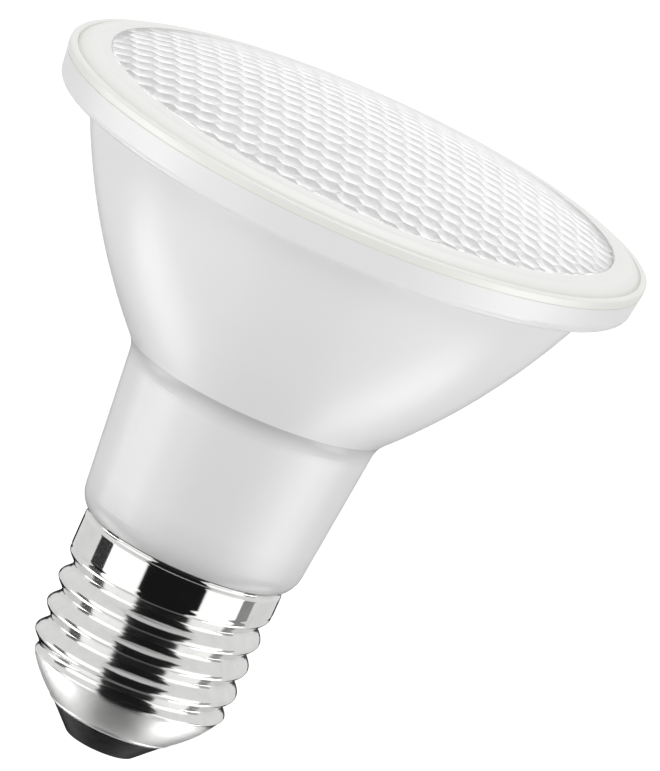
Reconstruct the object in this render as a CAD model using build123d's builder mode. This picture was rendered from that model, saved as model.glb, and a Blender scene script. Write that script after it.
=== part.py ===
from build123d import *
from math import cos, hypot, radians, sin, sqrt
import os

os.makedirs("parts", exist_ok=True)

# A reflector lamp with an Edison screw cap, standing lens up with the centre contact at the origin.

# Centre contact and cap insulator
contact_d = 6.0
contact_flat_d = 4.2
contact_drop = 0.3
contact_stem_d = 2.4
contact_stem_rise = 0.6
insulator_face_d = 8.8
insulator_height = 3.2
insulator_plug_height = 2.4

# Screw shell
shell_wall = 0.3
shell_mouth_d = 15.2
cone_height = 5.5
cone_bulge = 0.4
cone_step = 0.4
thread_major_d = 26.2
thread_depth = 1.0
thread_pitch = 3.629
thread_length = 14.6
thread_crest_z = 10.9
ridge_width = 3.0
ridge_root = 0.15
ridge_steps = 3
collar_step = 0.05
collar_band_height = 2.9
waist_depth = 0.3
waist_rise = 0.55
collar_lip_flare = 0.15
collar_lip_height = 1.2

# Housing
spigot_wall = 1.5
spigot_rise = 3.0
neck_lap = 0.15
neck_round_height = 2.3
neck_round_reach = 1.1
neck_height = 17.5
neck_taper = 1.75
neck_wall = 2.0
cove_height = 2.25
cove_reach = 0.9
bowl_edge_round = 0.25
bowl_height = 26.35
bowl_bulge = 1.42
bowl_wall = 1.8
shelf_rise = 2.05
rim_overhang = 4.2
rim_draft = 0.35
rim_round = 1.2
rim_height = 3.7
rim_web = 1.1
rim_wall = 2.25
rib_thickness = 1.0
rib_reach = 2.4
rib_root = 0.6
rib_length = 14.0

# Lens
lip_d = 77.0
lip_height = 1.2
lip_overlap = 0.05
lip_round = 0.5
lip_width = 0.85
groove_width = 0.35
groove_depth = 0.4
bead_width = 2.3
bead_rise = 0.4
dome_drop = 0.8
dome_rise = 4.4
lens_border = 2.6
skirt_wall = 1.5
field_border = 1.3
crease_depth = 1.9
lenslet_pitch = 3.05
lenslet_depth = 0.45
lenslet_turn = -23.0

# Reflector, heat sink and light source
reflector_wall = 0.8
reflector_foot_gap = 0.6
reflector_mouth_gap = 0.4
reflector_bulge = 0.8
flange_thickness = 0.8
sink_floor = 1.6
sink_wall = 1.0
sink_top_gap = 7.4
pad_thickness = 0.3
pad_margin = 0.4
led_board_gap = 0.4
led_board_thickness = 1.5
led_count = 12
led_ring_d = 20.4
led_size = 3.0
led_height = 0.6
led_window = 2.2
led_window_rise = 0.05
screw_span = 11.8
screw_d = 2.0
screw_head_d = 3.5
screw_head_height = 1.3
screw_slot_width = 0.5
screw_slot_depth = 0.5
lead_hole_d = 4.4
lead_spacing = 2.3
lead_d = 1.1
lead_bend = 1.2
lead_tail = 4.2
lead_lap = 3.5

# Driver board and what stands on it
board_y = 3.0
board_thickness = 1.6
board_foot_rise = 1.5
board_top_gap = 1.5
mains_wire_d = 0.9
mains_wire_bend = 1.5
mains_wire_lap = 3.0
live_wire_x = 3.0
neutral_wire_x = -5.0
neutral_wire_drop = 1.2
can_gap = 0.2
can_groove = 0.35
can_groove_width = 0.9
can_bung = 1.2
can_lead_d = 0.6
bulk_can_d = 10.0
bulk_can_length = 15.5
bulk_can_x = -4.8
bulk_can_rise = 2.2
output_can_d = 6.4
output_can_length = 7.6
output_can_x = 6.0
output_can_rise = 2.2
film_width = 10.0
film_depth = 5.0
film_height = 8.0
film_round = 0.6
film_bevel = 0.3
film_x = 1.6
film_rise = 5.0
core_width = 9.6
core_height = 9.0
core_depth = 5.0
core_leg = 1.7
core_centre_leg = 2.6
core_yoke = 1.6
core_x = 6.0
core_rise = 15.2
coil_margin = 0.15
coil_swell = 1.3
bridge_width = 5.0
bridge_length = 6.4
bridge_height = 2.4
bridge_rise = 4.0
bridge_leg_pitch = 3.2
bridge_leg_count = 4
chip_width = 4.0
chip_length = 5.0
chip_height = 1.5
chip_rise = 13.0
chip_leg_pitch = 1.27
chip_leg_count = 8
chip_leg_width = 0.42
chip_leg_reach = 1.0
chip_leg_thickness = 0.25
fuse_d = 2.8
fuse_waist_d = 2.3
fuse_length = 6.2
fuse_x = -6.0
fuse_rise = 3.0
fuse_lead_d = 0.6
fuse_lead_run = 1.2
fuse_standoff = 0.4

# Clearances
fit_gap = 0.1
slip_gap = 0.15
lie_gap = 0.05

# Heights along the axis
insulator_z = contact_drop
shell_edge_z = insulator_z + insulator_height
plug_top_z = shell_edge_z + insulator_plug_height
thread_z = shell_edge_z + cone_height
collar_z = thread_z + thread_length
band_top_z = collar_z + collar_band_height
waist_z = band_top_z + waist_rise
shell_top_z = band_top_z + collar_lip_height
spigot_z = thread_z + spigot_rise
neck_z = shell_top_z + neck_round_height
cove_z = neck_z + neck_height
step_z = cove_z + cove_height
shelf_z = step_z + shelf_rise
rim_z = step_z + bowl_height
ledge_z = rim_z + rim_web
seam_z = rim_z + rim_height
lip_top_z = seam_z + lip_height
dome_foot_z = lip_top_z + dome_drop
apex_z = dome_foot_z + dome_rise
pad_z = shelf_z + sink_floor
led_board_z = pad_z + pad_thickness
led_board_top_z = led_board_z + led_board_thickness
flange_top_z = ledge_z + flange_thickness
board_foot_z = spigot_z + board_foot_rise
board_top_z = shelf_z - board_top_gap

# Radii that several pieces share, from the thread out to the rim and from the lip in to the lens
thread_root_r = thread_major_d / 2 - thread_depth
thread_bore_r = thread_root_r - shell_wall
mouth_bore_r = shell_mouth_d / 2 - shell_wall
collar_r = thread_major_d / 2 + collar_step
collar_waist_r = collar_r - waist_depth
collar_lip_r = collar_r + collar_lip_flare
spigot_r = thread_bore_r - fit_gap
spigot_bore_r = spigot_r - spigot_wall
cap_seat_r = collar_waist_r - shell_wall - fit_gap
neck_foot_r = collar_lip_r + neck_lap
neck_base_r = neck_foot_r + neck_round_reach
neck_top_r = neck_base_r + neck_taper
neck_bore_r = neck_base_r - neck_wall
neck_bore_top_r = neck_top_r - neck_wall
bowl_edge_r = neck_top_r + cove_reach
lip_r = lip_d / 2
rim_top_r = lip_r - lip_overlap
rim_foot_r = rim_top_r - rim_draft
bowl_top_r = rim_foot_r - rim_overhang
lens_seat_r = rim_top_r - rim_wall
groove_r = lip_r - lip_width - groove_width
dome_r = groove_r - bead_width
field_r = dome_r - field_border
dome_radius = (dome_r**2 + dome_rise**2) / (2 * dome_rise)
dome_centre_z = apex_z - dome_radius


def bowl_r(z, inset):
    """Radius at height z of the bowl's arc, moved in by inset."""
    foot = Vector(bowl_edge_r, step_z)
    top = Vector(bowl_top_r, rim_z)
    chord = top - foot
    radius = (chord.length**2 / 4 + bowl_bulge**2) / (2 * bowl_bulge)
    inward = Vector(-chord.Y, chord.X).normalized()
    centre = (foot + top) * 0.5 + inward * (radius - bowl_bulge)
    return centre.X + sqrt((radius - inset) ** 2 - (z - centre.Y) ** 2)


def bowl_arc(low_z, high_z, inset):
    """Three points of the bowl's arc between two heights."""
    middle_z = (low_z + high_z) / 2
    return [(bowl_r(z, inset), z) for z in (low_z, middle_z, high_z)]


def bent_wire(points, bend, diameter):
    """A round wire along straight runs with rounded corners."""
    with BuildPart() as wire:
        with BuildLine() as run:
            FilletPolyline(*points, radius=bend)
        with BuildSketch(Plane(origin=run.line @ 0, z_dir=run.line % 0)):
            Circle(diameter / 2)
        sweep()
    return wire.part


def kinked_lead(points, diameter):
    """A stiff round lead along straight runs with sharp corners."""
    with BuildPart() as lead:
        with BuildLine() as run:
            Polyline(*points)
        with BuildSketch(Plane(origin=run.line @ 0, z_dir=run.line % 0)):
            Circle(diameter / 2)
        sweep(transition=Transition.RIGHT)
    return lead.part


# Centre contact: a brass rivet whose flat head is the lowest face of the lamp
with BuildPart() as centre_contact:
    with BuildSketch(Plane.XZ):
        with BuildLine():
            Polyline(
                (0, 0),
                (contact_flat_d / 2, 0),
                (contact_d / 2, contact_drop),
                (contact_stem_d / 2, contact_drop),
                (contact_stem_d / 2, plug_top_z + contact_stem_rise),
                (0, plug_top_z + contact_stem_rise),
                close=True,
            )
        make_face()
    revolve(axis=Axis.Z)
centre_contact.part.label = "centre_contact"
export_step(centre_contact.part, "parts/centre_contact.step")

# Cap insulator: a black truncated cone with a plug that fills the mouth of the shell
plug_r = mouth_bore_r - fit_gap
bore_flare = (thread_bore_r - mouth_bore_r) / (cone_height - shell_wall)
with BuildPart() as cap_insulator:
    with BuildSketch(Plane.XZ):
        with BuildLine():
            Polyline(
                (contact_stem_d / 2 + lie_gap, insulator_z),
                (insulator_face_d / 2, insulator_z),
                (shell_mouth_d / 2, shell_edge_z),
                (plug_r, shell_edge_z),
                (plug_r + bore_flare * insulator_plug_height, plug_top_z),
                (contact_stem_d / 2 + lie_gap, plug_top_z),
                close=True,
            )
        make_face()
    revolve(axis=Axis.Z)
cap_insulator.part.label = "cap_insulator"
export_step(cap_insulator.part, "parts/cap_insulator.step")

# Screw thread: one right-hand ridge of rounded section, a crest facing -X at thread_crest_z
ridge_z = thread_crest_z - 3 * thread_pitch / 2
ridge_height = thread_length + 2 * thread_pitch
with BuildPart() as thread_ridge:
    with BuildLine() as turns:
        Helix(thread_pitch, ridge_height, thread_root_r, center=(0, 0, ridge_z))
    with BuildSketch(Plane(turns.line @ 0, x_dir=(1, 0, 0), z_dir=turns.line % 0)):
        with BuildLine():
            crown = []
            for k in range(-ridge_steps, ridge_steps + 1):
                swell = cos(radians(90 * k / ridge_steps))
                height = (thread_depth + ridge_root) * swell - ridge_root
                crown.append((height, k * ridge_width / ridge_steps / 2))
            Polyline(*crown, close=True)
        make_face()
    sweep(is_frenet=True)
    with Locations((0, 0, thread_z)):
        Cylinder(
            thread_major_d,
            thread_length,
            align=(Align.CENTER, Align.CENTER, Align.MIN),
            mode=Mode.INTERSECT,
        )

# Screw shell: thin plated brass with a cone, the threaded barrel and a collar crimped at a waist
with BuildPart() as screw_shell:
    with BuildSketch(Plane.XZ):
        with BuildLine():
            Line((mouth_bore_r, shell_edge_z), (shell_mouth_d / 2, shell_edge_z))
            SagittaArc(
                (shell_mouth_d / 2, shell_edge_z),
                (thread_root_r + cone_step, thread_z),
                -cone_bulge,
            )
            Polyline(
                (thread_root_r + cone_step, thread_z),
                (thread_root_r, thread_z),
                (thread_root_r, collar_z),
                (collar_r, collar_z),
                (collar_r, band_top_z),
                (collar_waist_r, waist_z),
                (collar_lip_r, shell_top_z),
                (collar_lip_r - shell_wall, shell_top_z),
                (collar_waist_r - shell_wall, waist_z),
                (collar_r - shell_wall, band_top_z),
                (collar_r - shell_wall, collar_z + shell_wall),
                (thread_bore_r, collar_z + shell_wall),
                (thread_bore_r, thread_z - shell_wall),
            )
            SagittaArc(
                (mouth_bore_r, shell_edge_z),
                (thread_bore_r, thread_z - shell_wall),
                -cone_bulge,
            )
        make_face()
    revolve(axis=Axis.Z)
    add(thread_ridge.part)
screw_shell.part.label = "screw_shell"
export_step(screw_shell.part, "parts/screw_shell.step")

# Housing: one white moulding with rim, bowl, stepped neck and the spigot that carries the cap
neck_foot = (neck_foot_r, shell_top_z)
neck_base = (neck_base_r, neck_z)
neck_top = (neck_top_r, cove_z)
neck_run = Vector(neck_top) - Vector(neck_base)
seat_step_z = collar_z + shell_wall + fit_gap
with BuildPart() as housing:
    with BuildSketch(Plane.XZ):
        with BuildLine():
            Polyline(
                (spigot_bore_r, spigot_z),
                (spigot_r, spigot_z),
                (spigot_r, seat_step_z),
                (cap_seat_r, seat_step_z),
                (cap_seat_r, shell_top_z),
                neck_foot,
            )
            TangentArc(neck_base, neck_foot, tangent=-neck_run)
            Line(neck_base, neck_top)
            TangentArc(neck_top, (bowl_edge_r, step_z), tangent=neck_run)
            ThreePointArc(*bowl_arc(step_z, rim_z, 0))
            Line((bowl_top_r, rim_z), (rim_foot_r - rim_round, rim_z))
            TangentArc(
                (rim_foot_r - rim_round, rim_z),
                (rim_foot_r, rim_z + rim_round),
                tangent=(1, 0),
            )
            Polyline(
                (rim_foot_r, rim_z + rim_round),
                (rim_top_r, seam_z),
                (lens_seat_r, seam_z),
                (lens_seat_r, ledge_z),
                (bowl_r(ledge_z, bowl_wall), ledge_z),
            )
            ThreePointArc(*bowl_arc(shelf_z, ledge_z, bowl_wall))
            Polyline(
                (bowl_r(shelf_z, bowl_wall), shelf_z),
                (neck_bore_top_r, shelf_z),
                (neck_bore_top_r, cove_z),
                (neck_bore_r, neck_z),
                (spigot_bore_r, neck_z),
                (spigot_bore_r, spigot_z),
            )
        profile = make_face()
        edge_corner = profile.vertices().sort_by_distance((bowl_edge_r, step_z))[0]
        fillet(edge_corner, bowl_edge_round)
    revolve(axis=Axis.Z)
    # Two pairs of ribs hold the edges of the driver board
    rib_offset = board_thickness / 2 + slip_gap + rib_thickness / 2
    rib_x = spigot_bore_r - rib_reach / 2 + rib_root
    with BuildSketch(Plane.XY.offset(spigot_z)):
        with Locations((0, board_y)):
            with GridLocations(2 * rib_x, 2 * rib_offset, 2, 2):
                Rectangle(rib_reach + 2 * rib_root, rib_thickness)
        Circle(spigot_bore_r + rib_root, mode=Mode.INTERSECT)
    extrude(amount=rib_length)
housing.part.label = "housing"
export_step(housing.part, "parts/housing.step")


def crease_z(x, y):
    """Height of the creases between the lenslets, on a bowl as flat as the dome."""
    return apex_z - crease_depth - (x**2 + y**2) / (2 * dome_radius)


def honeycomb_cells():
    """Centres and corners of the hexagons that lie wholly inside the lens field."""
    reach = int(2 * field_r / lenslet_pitch)
    corner_r = lenslet_pitch / sqrt(3)
    for i in range(-reach, reach + 1):
        for j in range(-reach, reach + 1):
            across = radians(lenslet_turn)
            along = radians(lenslet_turn + 60)
            x = lenslet_pitch * (i * cos(across) + j * cos(along))
            y = lenslet_pitch * (i * sin(across) + j * sin(along))
            angles = [radians(lenslet_turn + 30 + 60 * k) for k in range(6)]
            corners = [(x + corner_r * cos(a), y + corner_r * sin(a)) for a in angles]
            if max(hypot(*corner) for corner in corners) < field_r:
                yield corners


def flat_face(points):
    """A flat face with the given corners."""
    return Face(Wire.make_polygon(points, close=True))


def honeycomb_core(floor_z):
    """Block under the lens field, topped by one hollow for each lenslet."""
    faces = []
    walls = {}
    for corners in honeycomb_cells():
        rim = [Vector(x, y, crease_z(x, y)) for x, y in corners]
        tip = sum(rim, Vector()) * (1 / len(rim)) - Vector(0, 0, lenslet_depth)
        faces.append(flat_face([Vector(p.X, p.Y, floor_z) for p in rim]))
        for k in range(len(rim)):
            a, b = rim[k - 1], rim[k]
            faces.append(flat_face([a, b, tip]))
            key = frozenset((round(p.X, 3), round(p.Y, 3)) for p in (a, b))
            walls.setdefault(key, []).append((a, b))
    for sides in walls.values():
        if len(sides) == 1:
            a, b = sides[0]
            faces.append(flat_face([a, b, Vector(b.X, b.Y, floor_z), Vector(a.X, a.Y, floor_z)]))
    return Solid(Shell(faces))


# Lens: clear dome with a honeycomb of lenslets inside, and a ring that sits on the rim
skirt_r = lens_seat_r - fit_gap
skirt_z = flange_top_z + fit_gap
skirt_inner_r = skirt_r - skirt_wall
inner_radius = dome_radius - lens_border
border_z = dome_centre_z + sqrt(inner_radius**2 - skirt_inner_r**2)
with BuildPart() as lens:
    with BuildSketch(Plane.XZ):
        with BuildLine():
            RadiusArc((0, apex_z), (dome_r, dome_foot_z), dome_radius)
            SagittaArc((dome_r, dome_foot_z), (groove_r, lip_top_z), bead_rise)
            Polyline(
                (groove_r, lip_top_z),
                (groove_r + groove_width / 2, lip_top_z - groove_depth),
                (groove_r + groove_width, lip_top_z),
                (lip_r - lip_round, lip_top_z),
            )
            TangentArc(
                (lip_r - lip_round, lip_top_z),
                (lip_r, lip_top_z - lip_round),
                tangent=(1, 0),
            )
            Polyline(
                (lip_r, lip_top_z - lip_round),
                (lip_r, seam_z),
                (skirt_r, seam_z),
                (skirt_r, skirt_z),
                (skirt_inner_r, skirt_z),
                (skirt_inner_r, border_z),
            )
            RadiusArc((0, apex_z - lens_border), (skirt_inner_r, border_z), inner_radius)
            Line((0, apex_z - lens_border), (0, apex_z))
        make_face()
    revolve(axis=Axis.Z)
    add(honeycomb_core(skirt_z - lens_border), mode=Mode.SUBTRACT)
lens.part.label = "lens"
export_step(lens.part, "parts/lens.step")

# Heat sink: an aluminium cup that lines the bowl and stands on the shelf above the neck
sink_outset = bowl_wall + slip_gap
sink_inset = sink_outset + sink_wall
sink_top_z = ledge_z - sink_top_gap
screw_spots = [(0, screw_span / 2), (0, -screw_span / 2)]
lead_y = board_y - board_thickness / 2 - lie_gap - lead_d / 2
with BuildPart() as heat_sink:
    with BuildSketch(Plane.XZ):
        with BuildLine():
            Polyline(
                (0, pad_z),
                (0, shelf_z),
                (bowl_r(shelf_z, sink_outset), shelf_z),
                (bowl_r(sink_top_z, sink_outset), sink_top_z),
                (bowl_r(sink_top_z, sink_inset), sink_top_z),
                (bowl_r(pad_z, sink_inset), pad_z),
                close=True,
            )
        make_face()
    revolve(axis=Axis.Z)
    with Locations(Plane.XY.offset(pad_z)):
        with Locations(*screw_spots):
            Hole(screw_d / 2 + lie_gap)
        with Locations((0, lead_y)):
            Hole(lead_hole_d / 2)
heat_sink.part.label = "heat_sink"
export_step(heat_sink.part, "parts/heat_sink.step")

# Thermal pad: a soft grey disc between heat sink and LED board
led_board_r = bowl_r(pad_z, sink_inset) - led_board_gap
with BuildPart() as thermal_pad:
    with BuildSketch(Plane.XY.offset(pad_z)):
        Circle(led_board_r - pad_margin)
        with Locations(*screw_spots):
            Circle(screw_d / 2 + fit_gap, mode=Mode.SUBTRACT)
        with Locations((0, lead_y)):
            Circle(lead_hole_d / 2, mode=Mode.SUBTRACT)
    extrude(amount=pad_thickness)
thermal_pad.part.label = "thermal_pad"
export_step(thermal_pad.part, "parts/thermal_pad.step")

# LED board: a round aluminium board with a white mask
with BuildPart() as led_board:
    with BuildSketch(Plane.XY.offset(led_board_z)):
        Circle(led_board_r)
        with Locations(*screw_spots):
            Circle(screw_d / 2 + fit_gap, mode=Mode.SUBTRACT)
        with Locations((0, lead_y)):
            Circle(lead_hole_d / 2, mode=Mode.SUBTRACT)
    extrude(amount=led_board_thickness)
led_board.part.label = "led_board"
export_step(led_board.part, "parts/led_board.step")

# LED packages: square white frames in a ring, each with a square well
with BuildPart() as led_packages:
    with BuildSketch(Plane.XY.offset(led_board_top_z)):
        with PolarLocations(led_ring_d / 2, led_count, start_angle=180 / led_count):
            Rectangle(led_size, led_size)
            Rectangle(led_window, led_window, mode=Mode.SUBTRACT)
    extrude(amount=led_height)
led_packages.part.label = "led_packages"
export_step(led_packages.part, "parts/led_packages.step")

# LED phosphors: yellow fills of the wells
with BuildPart() as led_phosphors:
    with BuildSketch(Plane.XY.offset(led_board_top_z)):
        with PolarLocations(led_ring_d / 2, led_count, start_angle=180 / led_count):
            Rectangle(led_window, led_window)
    extrude(amount=led_height + led_window_rise)
led_phosphors.part.label = "led_phosphors"
export_step(led_phosphors.part, "parts/led_phosphors.step")

# Board screws: two slotted pan heads that clamp board and pad to the heat sink
with BuildPart() as board_screws:
    with BuildSketch(Plane.XY.offset(led_board_top_z)):
        with Locations(*screw_spots):
            Circle(screw_head_d / 2)
    extrude(amount=screw_head_height)
    chamfer(board_screws.edges().group_by(Axis.Z)[-1], screw_head_height / 2)
    with BuildSketch(Plane.XY.offset(led_board_top_z + screw_head_height)):
        with Locations(*screw_spots):
            Rectangle(screw_head_d, screw_slot_width)
    extrude(amount=-screw_slot_depth, mode=Mode.SUBTRACT)
    with BuildSketch(Plane.XY.offset(led_board_top_z)):
        with Locations(*screw_spots):
            Circle(screw_d / 2)
    extrude(amount=shelf_z - led_board_top_z)
board_screws.part.label = "board_screws"
export_step(board_screws.part, "parts/board_screws.step")

# Reflector: a bright cup from the LED board to the lens, hung by a flange on the rim's ledge
flange_r = lens_seat_r - fit_gap
foot_r = hypot((led_ring_d + led_size) / 2, led_size / 2) + reflector_foot_gap
mouth_r = bowl_r(ledge_z, bowl_wall) - reflector_mouth_gap - reflector_wall
with BuildPart() as reflector:
    with BuildSketch(Plane.XZ):
        with BuildLine():
            SagittaArc((foot_r, led_board_top_z), (mouth_r, flange_top_z), -reflector_bulge)
            Polyline(
                (mouth_r, flange_top_z),
                (flange_r, flange_top_z),
                (flange_r, ledge_z),
                (mouth_r + reflector_wall, ledge_z),
            )
            SagittaArc(
                (foot_r + reflector_wall, led_board_top_z),
                (mouth_r + reflector_wall, ledge_z),
                -reflector_bulge,
            )
            Line((foot_r + reflector_wall, led_board_top_z), (foot_r, led_board_top_z))
        make_face()
    revolve(axis=Axis.Z)
reflector.part.label = "reflector"
export_step(reflector.part, "parts/reflector.step")

# Driver board: a T-shaped upright board, its tongue held between the ribs of the spigot
board_front_y = board_y - board_thickness / 2
board_back_y = board_y + board_thickness / 2
tongue_half = sqrt(spigot_bore_r**2 - board_back_y**2) - slip_gap
shoulder_half = sqrt(neck_bore_r**2 - board_back_y**2) - slip_gap
shoulder_z = neck_z + slip_gap
with BuildPart() as driver_board:
    with BuildSketch(Plane.XZ.offset(-board_back_y)):
        with BuildLine():
            Polyline(
                (-tongue_half, board_foot_z),
                (tongue_half, board_foot_z),
                (tongue_half, shoulder_z),
                (shoulder_half, shoulder_z),
                (shoulder_half, board_top_z),
                (-shoulder_half, board_top_z),
                (-shoulder_half, shoulder_z),
                (-tongue_half, shoulder_z),
                close=True,
            )
        make_face()
    extrude(amount=board_thickness)
driver_board.part.label = "driver_board"
export_step(driver_board.part, "parts/driver_board.step")


def can_capacitor(diameter, length, x, z):
    """An electrolytic capacitor lying along the board, its two leads bent into it."""
    r = diameter / 2
    y = board_front_y - can_gap - r
    with BuildPart() as can:
        with BuildSketch(Plane(origin=(x, y, z), x_dir=(1, 0, 0), z_dir=(0, -1, 0))):
            with BuildLine():
                Polyline(
                    (0, 0),
                    (r, 0),
                    (r, can_bung),
                    (r - can_groove, can_bung + can_groove_width / 2),
                    (r, can_bung + can_groove_width),
                    (r, length),
                    (0, length),
                    close=True,
                )
            make_face()
        revolve(axis=Axis((x, y, z), (0, 0, 1)))
        chamfer(can.edges().group_by(Axis.Z)[-1], can_groove)
    for side in (-1, 1):
        lead_x = x + side * r / 2
        drop_z = z - can_bung
        route = [(lead_x, y, z), (lead_x, y, drop_z), (lead_x, board_front_y, drop_z)]
        can.part = can.part + kinked_lead(route, can_lead_d)
    return can.part


# Bulk capacitor: the large can that smooths the mains
bulk_capacitor = can_capacitor(bulk_can_d, bulk_can_length, bulk_can_x, neck_z + bulk_can_rise)
bulk_capacitor.label = "bulk_capacitor"
export_step(bulk_capacitor, "parts/bulk_capacitor.step")

# Output capacitor: the small can across the LED supply
output_capacitor = can_capacitor(
    output_can_d, output_can_length, output_can_x, neck_z + output_can_rise
)
output_capacitor.label = "output_capacitor"
export_step(output_capacitor, "parts/output_capacitor.step")

# Film capacitor: a moulded box on the tongue of the board
with BuildPart() as film_capacitor:
    with BuildSketch(Plane.XZ.offset(-board_front_y)):
        with Locations((film_x, board_foot_z + film_rise)):
            Rectangle(film_width, film_height, align=(Align.CENTER, Align.MIN))
    extrude(amount=film_depth)
    fillet(film_capacitor.edges().filter_by(Axis.Y), film_round)
    chamfer(film_capacitor.faces().sort_by(Axis.Y)[0].edges(), film_bevel)
film_capacitor.part.label = "film_capacitor"
export_step(film_capacitor.part, "parts/film_capacitor.step")

# Transformer core: a pair of ferrite E shapes with two windows
core_z = neck_z + core_rise
window_width = (core_width - 2 * core_leg - core_centre_leg) / 2
window_height = core_height - 2 * core_yoke
window_x = core_centre_leg / 2 + window_width / 2
core_front_y = board_front_y - coil_swell - lie_gap
with BuildPart() as transformer_core:
    with BuildSketch(Plane.XZ.offset(-core_front_y)):
        with Locations((core_x, core_z)):
            Rectangle(core_width, core_height)
            with GridLocations(2 * window_x, 0, 2, 1):
                Rectangle(window_width, window_height, mode=Mode.SUBTRACT)
    extrude(amount=core_depth)
transformer_core.part.label = "transformer_core"
export_step(transformer_core.part, "parts/transformer_core.step")

# Transformer coil: taped winding around the centre leg, through both windows
coil_width = core_centre_leg + 2 * window_width - 2 * coil_margin
coil_height = window_height - 2 * coil_margin
with BuildPart() as transformer_coil:
    with BuildSketch(Plane.XY.offset(core_z - coil_height / 2)):
        with Locations((core_x, core_front_y - core_depth / 2)):
            RectangleRounded(coil_width, core_depth + 2 * coil_swell, coil_swell / 2)
            Rectangle(core_centre_leg + 2 * lie_gap, core_depth + 2 * lie_gap, mode=Mode.SUBTRACT)
    extrude(amount=coil_height)
transformer_coil.part.label = "transformer_coil"
export_step(transformer_coil.part, "parts/transformer_coil.step")


def leaded_block(length, width, height, pitch, leg_count, rise):
    """A black block on the back of the board with flat legs reaching out at both sides."""
    with BuildPart() as block:
        with BuildSketch(Plane.XZ.offset(-board_back_y)) as foot:
            with Locations((0, neck_z + rise)):
                Rectangle(length, width)
        extrude(foot.sketch, amount=-height)
        with BuildSketch(Plane.XZ.offset(-board_back_y)) as legs:
            with Locations((0, neck_z + rise)):
                with GridLocations(pitch, 0, leg_count // 2, 1):
                    Rectangle(chip_leg_width, width + 2 * chip_leg_reach)
        extrude(legs.sketch, amount=-chip_leg_thickness)
    return block.part


# Bridge rectifier: the larger block, with four legs
bridge_rectifier = leaded_block(
    bridge_length, bridge_width, bridge_height, bridge_leg_pitch, bridge_leg_count, bridge_rise
)
bridge_rectifier.label = "bridge_rectifier"
export_step(bridge_rectifier, "parts/bridge_rectifier.step")

# Driver chip: the smaller block, with eight legs
driver_chip = leaded_block(
    chip_length, chip_width, chip_height, chip_leg_pitch, chip_leg_count, chip_rise
)
driver_chip.label = "driver_chip"
export_step(driver_chip, "parts/driver_chip.step")

# Fuse resistor: an axial body with waisted ends, its leads bent back into the board
fuse_y = board_front_y - fuse_standoff - fuse_d / 2
fuse_z = board_foot_z + fuse_rise
with BuildPart() as fuse_body:
    with BuildSketch(Plane(origin=(fuse_x, fuse_y, fuse_z), x_dir=(1, 0, 0), z_dir=(0, -1, 0))):
        with BuildLine():
            Polyline((0, 0), (0, fuse_length), (fuse_d / 2, fuse_length))
            SagittaArc(
                (fuse_d / 2, fuse_length), (fuse_d / 2, 0), (fuse_d - fuse_waist_d) / 2
            )
            Line((fuse_d / 2, 0), (0, 0))
        make_face()
    revolve(axis=Axis((fuse_x, fuse_y, fuse_z), (0, 0, 1)))
fuse_resistor = fuse_body.part
for end_z, away in ((fuse_z, -1), (fuse_z + fuse_length, 1)):
    lead_z = end_z + away * fuse_lead_run
    route = [(fuse_x, fuse_y, end_z), (fuse_x, fuse_y, lead_z), (fuse_x, board_front_y, lead_z)]
    fuse_resistor = fuse_resistor + kinked_lead(route, fuse_lead_d)
fuse_resistor.label = "fuse_resistor"
export_step(fuse_resistor, "parts/fuse_resistor.step")

# LED leads: two insulated wires from the driver board up through the heat sink
for name, side in (("led_lead_plus", 1), ("led_lead_minus", -1)):
    lead_x = side * lead_spacing / 2
    top_z = led_board_top_z + lead_d / 2 + lie_gap
    route = [
        (lead_x, lead_y, board_top_z - lead_lap),
        (lead_x, lead_y, top_z),
        (side * lead_tail, lead_y, top_z),
    ]
    led_lead = bent_wire(route, lead_bend, lead_d)
    led_lead.label = name
    export_step(led_lead, f"parts/{name}.step")

# Live wire: from the foot of the board to the stem of the centre contact
wire_front_y = board_front_y - lie_gap - mains_wire_d / 2
stem_top_z = plug_top_z + contact_stem_rise
live_turn_z = (spigot_z + stem_top_z) / 2
live_wire = bent_wire(
    [
        (live_wire_x, wire_front_y, board_foot_z + mains_wire_lap),
        (live_wire_x, wire_front_y, live_turn_z + mains_wire_bend),
        (0, 0, live_turn_z),
        (0, 0, stem_top_z),
    ],
    mains_wire_bend / 2,
    mains_wire_d,
)
live_wire.label = "live_wire"
export_step(live_wire, "parts/live_wire.step")

# Neutral wire: from the foot of the board out to the wall of the screw shell
wire_back_y = board_back_y + lie_gap + mains_wire_d / 2
neutral_z = spigot_z - neutral_wire_drop
neutral_start = Vector(neutral_wire_x, wire_back_y)
neutral_end = neutral_start.normalized() * (thread_bore_r - slip_gap)
neutral_wire = bent_wire(
    [
        (neutral_wire_x, wire_back_y, board_foot_z + mains_wire_lap),
        (neutral_wire_x, wire_back_y, neutral_z),
        (neutral_end.X, neutral_end.Y, neutral_z),
    ],
    mains_wire_bend,
    mains_wire_d,
)
neutral_wire.label = "neutral_wire"
export_step(neutral_wire, "parts/neutral_wire.step")
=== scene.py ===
from math import atan2, cos, floor, hypot, pi, radians, sin, sqrt

import bpy
from mathutils import Matrix, Vector


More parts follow.
